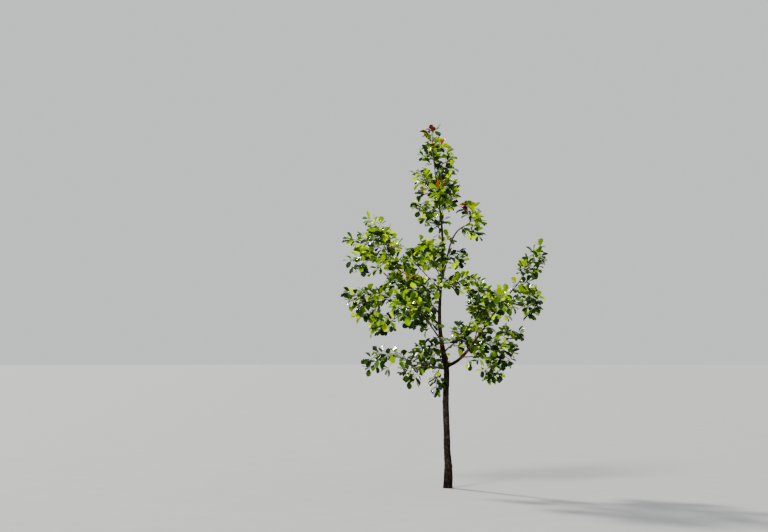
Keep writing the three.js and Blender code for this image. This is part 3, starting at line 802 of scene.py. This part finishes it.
def leaf_side(stagger):
    """One side of a leaf: for each station the rim's place along and out, the rib's place, and the puff."""
    stations = [(0.0, STALK_HALF_WIDTH, 0.0, 0.0), (STALK, STALK_HALF_WIDTH, STALK, 0.0)]
    blade = 1 - STALK
    for lobe in range(LOBES):
        for part, depth, puff in LOBE_POINTS:
            share = LOBED_FROM + LOBED_SPAN * (lobe + part) / LOBES + stagger
            out = HALF_WIDTH * leaf_envelope(share) * (1 - NOTCH_DEPTH * depth)
            along = STALK + blade * (share + LOBE_LEAN * (1 - depth))
            stations.append((along, out, STALK + blade * (share - stagger), puff))
    stations += [(along, HALF_WIDTH * out, rib, puff) for along, out, rib, puff in TIP_LOBE]
    return np.array(stations).T


def leaf_template():
    """A leaf of length 1: its points, its faces, and what each face wears: upper side, underside or rib."""
    rims, ribs = [], []
    for sign, stagger in ((1, 0), (-1, LOBE_STAGGER)):
        along, out, rib, puff = leaf_side(stagger)
        half_rib = np.minimum(RIB_HALF_WIDTH * (RIB_LENGTH - rib), RIB_SHARE * out)
        lift = PUFF * puff * np.minimum(1, out / HALF_WIDTH)
        rims.append(np.stack([along, sign * out, lift], axis=1))
        ribs.append(np.stack([rib, sign * half_rib, RIB_HEIGHT * (RIB_LENGTH - rib)], axis=1))
    count = len(rib)
    keel = np.stack([rib, np.zeros(count), -BLADE_KEEL * (KEEL_LENGTH - rib)], axis=1)
    points = np.vstack([*rims, *ribs, keel])
    left, right, rib_left, rib_right, under = (np.arange(count) + count * k for k in range(5))
    strips = [(rib_left, left), (right, rib_right), (rib_right, rib_left), (left, under), (under, right)]
    last = count - 1
    faces, wears = [], []
    for i in range(last):
        faces += [(a[i], a[i + 1], b[i + 1], b[i]) for a, b in strips]
        wears += [0, 0, 2, 1, 1]
    faces.append((left[0], under[0], right[0], rib_right[0], rib_left[0]))
    faces.append((rib_left[last], rib_right[last], right[last], under[last], left[last]))
    wears += [1, 1]
    return points, faces, wears


def leaf_points(points, leaf):
    """The template's points bent, twisted and set in place for one leaf, in millimetres."""
    along, out, lift = points[:, 0], points[:, 1] * leaf.width, points[:, 2]
    lift = lift + leaf.fold * np.abs(out) - leaf.arch * along**2
    turn = leaf.twist * along
    out, lift = out * np.cos(turn) - lift * np.sin(turn), out * np.sin(turn) + lift * np.cos(turn)
    local = np.stack([along, out, lift], axis=1) * leaf.length
    basis = np.array([leaf.direction, leaf.side, leaf.upper])
    return leaf.root + local @ basis


def add_object(name, data):
    made = bpy.data.objects.new(name, data)
    bpy.context.scene.collection.objects.link(made)
    return made


def add_mesh(name, points, faces, materials, wears=None, smooth_angle=None):
    """A mesh object from points in millimetres, shaded smooth up to an angle between faces."""
    mesh = bpy.data.meshes.new(name)
    mesh.from_pydata((points * MM).tolist(), [], faces)
    for material in materials:
        mesh.materials.append(material)
    if wears is not None:
        mesh.polygons.foreach_set("material_index", wears)
    if smooth_angle is not None:
        mesh.polygons.foreach_set("use_smooth", [True] * len(mesh.polygons))
        mesh.set_sharp_from_angle(angle=math.radians(smooth_angle))
    mesh.update()
    return add_object(name, mesh)


def tube_points(line, radius_at, sides, rings):
    """Rings of points round a curve. radius_at(share, turns) gives the radii of one ring."""
    turns = np.arange(sides) * ROUND / sides
    frames = ring_frames(line, rings)
    rows = []
    for i, (_, side, front) in enumerate(frames):
        share = i / rings
        radii = np.broadcast_to(radius_at(share, turns), turns.shape)[:, None]
        out = np.outer(np.sin(turns), side) + np.outer(np.cos(turns), front)
        rows.append(line.point(share) + out * radii)
    return np.vstack(rows)


def tube_faces(sides, rings, first=0):
    """The faces of a tube of that many sides and rings, with a cap at each end."""
    faces = []
    for i in range(rings):
        for k in range(sides):
            a, b = first + i * sides + k, first + i * sides + (k + 1) % sides
            faces.append((a, b, b + sides, a + sides))
    faces.append(tuple(first + k for k in reversed(range(sides))))
    faces.append(tuple(first + rings * sides + k for k in range(sides)))
    return faces


def eased(share):
    return share * share * (3 - 2 * share)


def grain(seed, around, along):
    """Smooth seeded noise on a sheet wrapped round a limb: cells round it by cells along it."""
    table = np.random.default_rng(seed).uniform(-1, 1, (along + 2, around))

    def noise(share, turns):
        low = min(int(share * along), along)
        step = eased(share * along - low)
        line = table[low] * (1 - step) + table[min(low + 1, along + 1)] * step
        place = turns / ROUND * around
        left = place.astype(int) % around
        part = eased(place - np.floor(place))
        return line[left] * (1 - part) + line[(left + 1) % around] * part

    return noise


# Bark relief, weaker where the trunk is young: the grains of its broad and fine ridges, fissures and lumps
TRUNK_SIDES, TRUNK_RINGS = 72, 760
TRUNK_GRAINS = [grain(11, 26, 150), grain(12, 40, 420), grain(13, 17, 70), grain(14, 6, 34)]
YOUNGER = 0.75
BROAD_RIDGE = 0.9
FINE_RIDGE = 0.55
FISSURE_DEPTH = 0.9
FISSURE_WIDTH = 0.42
LUMP = 0.99
LUMP_BY_AGE = (0.4, 0.6)
BARK_SMOOTH = 80
# A bough's broad and fine grain: the first seed, the cells round it, their length and their fewest
BOUGH_SIDES, BOUGH_RING_STEP = 22, 5
BROAD_GRAIN = (100, 9, 22, 4)
FINE_GRAIN = (200, 14, 8, 8)
FINE_GRAIN_SHARE = 0.5
BOUGH_RELIEF = 0.075
DEEPEST_RELIEF = 0.9
OLD_ROOT = 8.7
# The collar where a bough leaves its parent: how far it swells and how far along it fades, in radii of its
# root, and how much of the parent's radius it may fill
SWELL = 0.4
SWELL_FADE = 1.8
WIDEST_SWELL = 0.94
# Old scars and swellings on the trunk: height, turn from the front in degrees, bulge and size round it
KNOTS = [
    (705, -78, 4.2, 26), (845, 95, 2.6, 20), (560, 150, 3.0, 24), (330, -120, 2.6, 26),
    (935, -70, 2.8, 24), (1150, 118, 2.6, 18), (1255, -60, 2.2, 16), (180, 60, 2.8, 28),
]
KNOT_FALL = 4
PIT_DEPTH = 1.6
PIT_FALL = 60


def trunk_bark(share, turns):
    """The trunk's radii with shallow fissures that run up it, lumps, scars and its flare."""
    height = share * TRUNK_HEIGHT
    age = 1 - YOUNGER * share
    broad, fine, cracks, lumps = [noise(share, turns) for noise in TRUNK_GRAINS]
    ridges = broad * BROAD_RIDGE + fine * FINE_RIDGE
    fissures = -FISSURE_DEPTH * np.maximum(0, FISSURE_WIDTH - np.abs(cracks)) / FISSURE_WIDTH
    lumps = LUMP * lumps * (LUMP_BY_AGE[0] + LUMP_BY_AGE[1] * age)
    radii = flared_radius(share, turns) + age * (ridges + fissures) + lumps
    for at, turn, bulge, size in KNOTS:
        gap = (turns - math.radians(turn) + math.pi) % ROUND - math.pi
        far = np.hypot(gap * trunk_radius(share), height - at) / size
        radii = radii + bulge * np.exp(-KNOT_FALL * far**2) - PIT_DEPTH * bulge * np.exp(-PIT_FALL * far**2)
    return radii


def make_trunk(material):
    points = tube_points(trunk.line, trunk_bark, TRUNK_SIDES, TRUNK_RINGS)
    points[:TRUNK_SIDES, 2] = 0
    points[:, 2] = np.maximum(points[:, 2], 0)
    faces = tube_faces(TRUNK_SIDES, TRUNK_RINGS)
    piece = add_mesh("trunk_bark", points, faces, [material], None, BARK_SMOOTH)
    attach(piece, "root")
    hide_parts("trunk")


def bough_grain(form, number, length):
    seed, around, pitch, fewest = form
    return grain(seed + number, around, max(fewest, int(length / pitch)))


def make_boughs(materials):
    """Every bough in one mesh, each with its own grain. The thick ones wear old bark, and others young."""
    all_points, all_faces, wears = [], [], []
    first = 0
    for number, row in enumerate(BOUGHS):
        limb = limbs[row["name"]]
        length = limb.line.length
        rings = int(length / BOUGH_RING_STEP)
        broad = bough_grain(BROAD_GRAIN, number, length)
        fine = bough_grain(FINE_GRAIN, number, length)
        parent = limbs[row["on"]]
        buried = parent.radius(share_on(parent, row["at"]))
        root = row.get("root", SIDE_BOUGH_ROOT)

        def bark(share, turns):
            past = max(0.0, share * length - buried) / (SWELL_FADE * root)
            radius = min(limb.radius(share) + SWELL * root * math.exp(-past**2), WIDEST_SWELL * buried)
            depth = min(DEEPEST_RELIEF, BOUGH_RELIEF * radius)
            return radius + depth * (broad(share, turns) + FINE_GRAIN_SHARE * fine(share, turns))

        all_points.append(tube_points(limb.line, bark, BOUGH_SIDES, rings))
        faces = tube_faces(BOUGH_SIDES, rings, first)
        all_faces += faces
        wears += [0 if root > OLD_ROOT else 1] * len(faces)
        first += len(all_points[-1])
    piece = add_mesh("bough_bark", np.vstack(all_points), all_faces, materials, wears, BARK_SMOOTH)
    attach(piece, "root")
    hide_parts(*[row["name"] for row in BOUGHS])


# Sides and length of one ring step for each kind of shoot
SHOOT_FORMS = {"stem": (9, 16), "twig": (7, 14), "fine": (6, 12)}
FEWEST_RINGS = 3
TWIG_SMOOTH = 70
# The knuckle at a shoot's root: how far it swells and fades along it, in radii of the root
KNUCKLE = 0.35
KNUCKLE_FADE = 2.2


def shortened(line, share):
    """The first share of a curve."""
    return Line(lambda place: line.point(place * share))


def make_twigs(shoots, material):
    """Every stem and twig in one mesh. A small knuckle marks each shoot's root, and a fine one ends at
    its outermost leaf."""
    all_points, all_faces = [], []
    first = 0
    for one in shoots:
        sides, step = SHOOT_FORMS[one.kind]
        line, radii = one.line, one.radii
        if one.kind == "fine":
            if not one.leafy:
                continue
            line = shortened(line, one.leafy)
        rings = max(FEWEST_RINGS, int(line.length / step))
        knuckle = KNUCKLE * radii[0] if one.kind != "stem" else 0

        def radius(share, turns):
            swell = knuckle * math.exp(-share * line.length / (KNUCKLE_FADE * radii[0]))
            return part_way(radii, share) + swell

        all_points.append(tube_points(line, radius, sides, rings))
        all_faces += tube_faces(sides, rings, first)
        first += len(all_points[-1])
    piece = add_mesh("twigs", np.vstack(all_points), all_faces, [material], None, TWIG_SMOOTH)
    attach(piece, "root")
    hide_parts(*[f"{row['name']}_leaves" for row in MASSES])


def make_leaves(leaves):
    """The leaves of each colour in one mesh, or in several where there are very many."""
    template, faces, wears = leaf_template()
    count = len(template)
    rib = leaf_material("leaf_rib", RIB_TINT, RIB_ROUGHNESS, PLAIN_SHINE)
    for tint, (upper, under) in TINTS.items():
        shapes = [leaf for leaf in leaves if leaf.tint == tint]
        materials = [
            leaf_material(f"leaf_{tint}", upper, UPPER_ROUGHNESS, SHINES.get(tint, PLAIN_SHINE)),
            leaf_material(f"leaf_{tint}_under", under, UNDER_ROUGHNESS, PLAIN_SHINE),
            rib,
        ]
        for first in range(0, len(shapes), LEAVES_PER_PIECE):
            some = shapes[first:first + LEAVES_PER_PIECE]
            points = np.vstack([leaf_points(template, shape) for shape in some])
            all_faces = [tuple(v + k * count for v in face) for k in range(len(some)) for face in faces]
            name = f"leaves_{tint}_{first // LEAVES_PER_PIECE + 1}"
            piece = add_mesh(name, points, all_faces, materials, wears * len(some), LEAF_SMOOTH)
            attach(piece, "root")
            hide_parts(*[f"{row['name']}_leaves" for row in MASSES])


# Bark: its tones, then a mottle and pale beads that multiply them, and factors by height in metres
TONE_STOPS = (0.36, 0.50, 0.66)
MOTTLE = [(0.38, (0.45, 0.42, 0.40)), (0.50, (0.95, 0.92, 0.90)), (0.64, (2.3, 2.35, 2.4))]
BEADS = [(0.08, (1.9, 1.75, 1.6)), (0.22, (1.0, 1.0, 1.0))]
PATCH_SCALE = 0.3
PORE_SCALE = 1.3
BROAD_DEPTH = 1.5
OLD_TONES = [(0.008, 0.006, 0.004), (0.025, 0.018, 0.012), (0.088, 0.069, 0.050)]
OLD_BY_HEIGHT = [
    (0.0, (0.3, 0.28, 0.26)), (0.12, (0.5, 0.47, 0.44)), (0.4, (0.9, 0.88, 0.88)), (1.0, (0.8, 0.74, 0.7)),
    (1.18, (2.1, 1.4, 1.0)), (1.36, (1.8, 1.6, 1.0)), (1.6, (1.3, 1.15, 1.0)), (2.2, (1.2, 1.1, 1.0)),
]
YOUNG_TONES = [(0.036, 0.025, 0.016), (0.095, 0.072, 0.050), (0.200, 0.165, 0.125)]
YOUNG_BY_HEIGHT = [(0.0, (1.0, 1.0, 1.0)), (2.5, (1.0, 1.0, 1.0))]
FLOOR_TONES = [(0.3, (0.282, 0.288, 0.296)), (0.7, (0.296, 0.302, 0.31))]


def principled(name, colour, roughness, shine):
    """A new material, its shader and its node tree."""
    material = bpy.data.materials.new(name)
    material.use_nodes = True
    shader = material.node_tree.nodes["Principled BSDF"]
    shader.inputs["Base Color"].default_value = (*colour, 1)
    shader.inputs["Roughness"].default_value = roughness
    shader.inputs["Specular IOR Level"].default_value = shine
    return material, shader, material.node_tree


def add_node(tree, kind, output, **sockets):
    """One output of a new node. Each socket gets a value, or a link where it is given another output."""
    node = tree.nodes.new("ShaderNode" + kind)
    for name, value in sockets.items():
        socket = node.inputs[name.replace("_", " ")]
        if isinstance(value, bpy.types.NodeSocket):
            tree.links.new(value, socket)
        else:
            socket.default_value = value
    return node.outputs[output]


def leaf_material(name, colour, roughness, shine):
    """A leaf's satin skin, with the fine blisters between its veins."""
    material, shader, tree = principled(name, colour, roughness, shine)
    place = add_node(tree, "TexCoord", "Object")
    cells = add_node(tree, "TexVoronoi", "Distance", Vector=place, Scale=420.0)
    bump = add_node(tree, "Bump", "Normal", Height=cells, Strength=0.25, Distance=0.0006)
    tree.links.new(bump, shader.inputs["Normal"])
    return material


def ramp(tree, value, stops):
    """A value turned into a colour, between stops that each have a place and a colour."""
    node = tree.nodes.new("ShaderNodeValToRGB")
    elements = node.color_ramp.elements
    while len(elements) < len(stops):
        elements.new(0.5)
    for element, (place, colour) in zip(elements, stops):
        element.position = place
        element.color = (*colour, 1)
    tree.links.new(value, node.inputs["Fac"])
    return node.outputs["Color"]


def multiplied(tree, first, second, factor):
    """One colour multiplied by another."""
    mix = tree.nodes.new("ShaderNodeMix")
    mix.data_type = "RGBA"
    mix.blend_type = "MULTIPLY"
    mix.inputs["Factor"].default_value = factor
    tree.links.new(first, mix.inputs["A"])
    tree.links.new(second, mix.inputs["B"])
    return mix.outputs["Result"]


def bark_material(name, tones, by_height, stretch, grain_scale, depth):
    """Bark: grained along the limb, mottled from dark to pale, beaded with pores, and with a rough bump.
    Its tone changes with the height above the ground, in metres."""
    material, shader, tree = principled(name, tones[1], roughness=0.82, shine=0.2)
    place = add_node(tree, "TexCoord", "Object")
    stretched = add_node(tree, "Mapping", "Vector", Vector=place, Scale=(1, 1, stretch))
    grain = add_node(tree, "TexNoise", "Fac", Vector=stretched, Scale=grain_scale, Detail=7.0,
                     Roughness=0.66)
    patches = add_node(tree, "TexNoise", "Fac", Vector=place, Scale=grain_scale * PATCH_SCALE,
                       Detail=4.0, Roughness=0.6)
    pores = add_node(tree, "TexVoronoi", "Distance", Vector=place, Scale=grain_scale * PORE_SCALE)
    height = add_node(tree, "SeparateXYZ", "Z", Vector=place)
    share = add_node(tree, "MapRange", "Result", Value=height, From_Max=TRUNK_HEIGHT * MM)
    tone = ramp(tree, grain, list(zip(TONE_STOPS, tones)))
    colour = multiplied(tree, tone, ramp(tree, patches, MOTTLE), factor=0.9)
    colour = multiplied(tree, colour, ramp(tree, pores, BEADS), factor=0.8)
    change = ramp(tree, share, [(at / (TRUNK_HEIGHT * MM), factor) for at, factor in by_height])
    tree.links.new(multiplied(tree, colour, change, factor=1.0), shader.inputs["Base Color"])
    rough = add_node(tree, "MapRange", "Result", Value=grain, From_Min=0.3, From_Max=0.7,
                     To_Min=0.92, To_Max=0.62)
    tree.links.new(rough, shader.inputs["Roughness"])
    fine = add_node(tree, "Bump", "Normal", Height=grain, Strength=0.9, Distance=depth)
    broad = add_node(tree, "Bump", "Normal", Height=patches, Strength=0.8,
                     Distance=depth * BROAD_DEPTH, Normal=fine)
    tree.links.new(broad, shader.inputs["Normal"])
    return material


def floor_material():
    material, shader, tree = principled("floor", FLOOR_TONES[0][1], roughness=0.95, shine=0.5)
    place = add_node(tree, "TexCoord", "Object")
    noise = add_node(tree, "TexNoise", "Fac", Vector=place, Scale=3.0, Detail=3.0)
    tree.links.new(ramp(tree, noise, FLOOR_TONES), shader.inputs["Base Color"])
    return material


# Stage, camera and lights, in metres
CAMERA_LENS = 85
CAMERA_SENSOR = 36
CAMERA_PLACE = (-0.522, -14.9, 1.26)
CAMERA_PITCH = 2.145
CAMERA_FAR = 200
FLOOR_RADIUS = 60
# Each light: where it stands, its strength, how wide it looks from the tree in degrees, and its colour
LIGHTS = [
    ("key_light", (-5.0, -7.0, 8.5), 2.7, 14, (1.0, 0.98, 0.94)),
    ("rim_light", (-6.0, 8.0, 7.5), 5.2, 5, (1.0, 0.97, 0.89)),
]
AIM = (-0.1, 0.0, 1.7)
WORLD_COLOUR = (0.93, 0.94, 0.95)
WORLD_STRENGTH = 0.66


def make_floor(sides=96):
    turns = np.arange(sides) * ROUND / sides
    points = np.stack([np.cos(turns), np.sin(turns), 0 * turns], axis=1) * FLOOR_RADIUS / MM
    add_mesh("floor", points, [tuple(range(sides))], [floor_material()])


def make_camera():
    data = bpy.data.cameras.new("camera")
    data.lens = CAMERA_LENS
    data.sensor_width = CAMERA_SENSOR
    data.clip_end = CAMERA_FAR
    camera = add_object("camera", data)
    camera.location = CAMERA_PLACE
    camera.rotation_euler = (math.radians(90 + CAMERA_PITCH), 0, 0)
    bpy.context.scene.camera = camera


def make_lights():
    for name, place, strength, width, colour in LIGHTS:
        data = bpy.data.lights.new(name, "SUN")
        data.energy = strength
        data.angle = math.radians(width)
        data.color = colour
        light = add_object(name, data)
        light.location = place
        heading = Vector(AIM) - Vector(place)
        light.rotation_euler = heading.to_track_quat("-Z", "Y").to_euler()
    world = bpy.data.worlds.new("studio")
    world.use_nodes = True
    background = world.node_tree.nodes["Background"]
    background.inputs["Color"].default_value = (*WORLD_COLOUR, 1)
    background.inputs["Strength"].default_value = WORLD_STRENGTH
    bpy.context.scene.world = world


make_camera()
make_floor()
make_lights()
old_bark = bark_material("old_bark", OLD_TONES, OLD_BY_HEIGHT, stretch=0.55, grain_scale=95.0, depth=0.0035)
young_bark = bark_material("young_bark", YOUNG_TONES, YOUNG_BY_HEIGHT, stretch=0.6, grain_scale=160.0,
                           depth=0.0012)
make_trunk(old_bark)
make_boughs([old_bark, young_bark])
shoots, wood = grow_twigs()
leaves = grow_leaves(shoots, wood)
make_twigs(shoots, young_bark)
make_leaves(leaves)

# A little more contrast, as in bright sun
bpy.context.scene.view_settings.look = "AgX - Medium High Contrast"
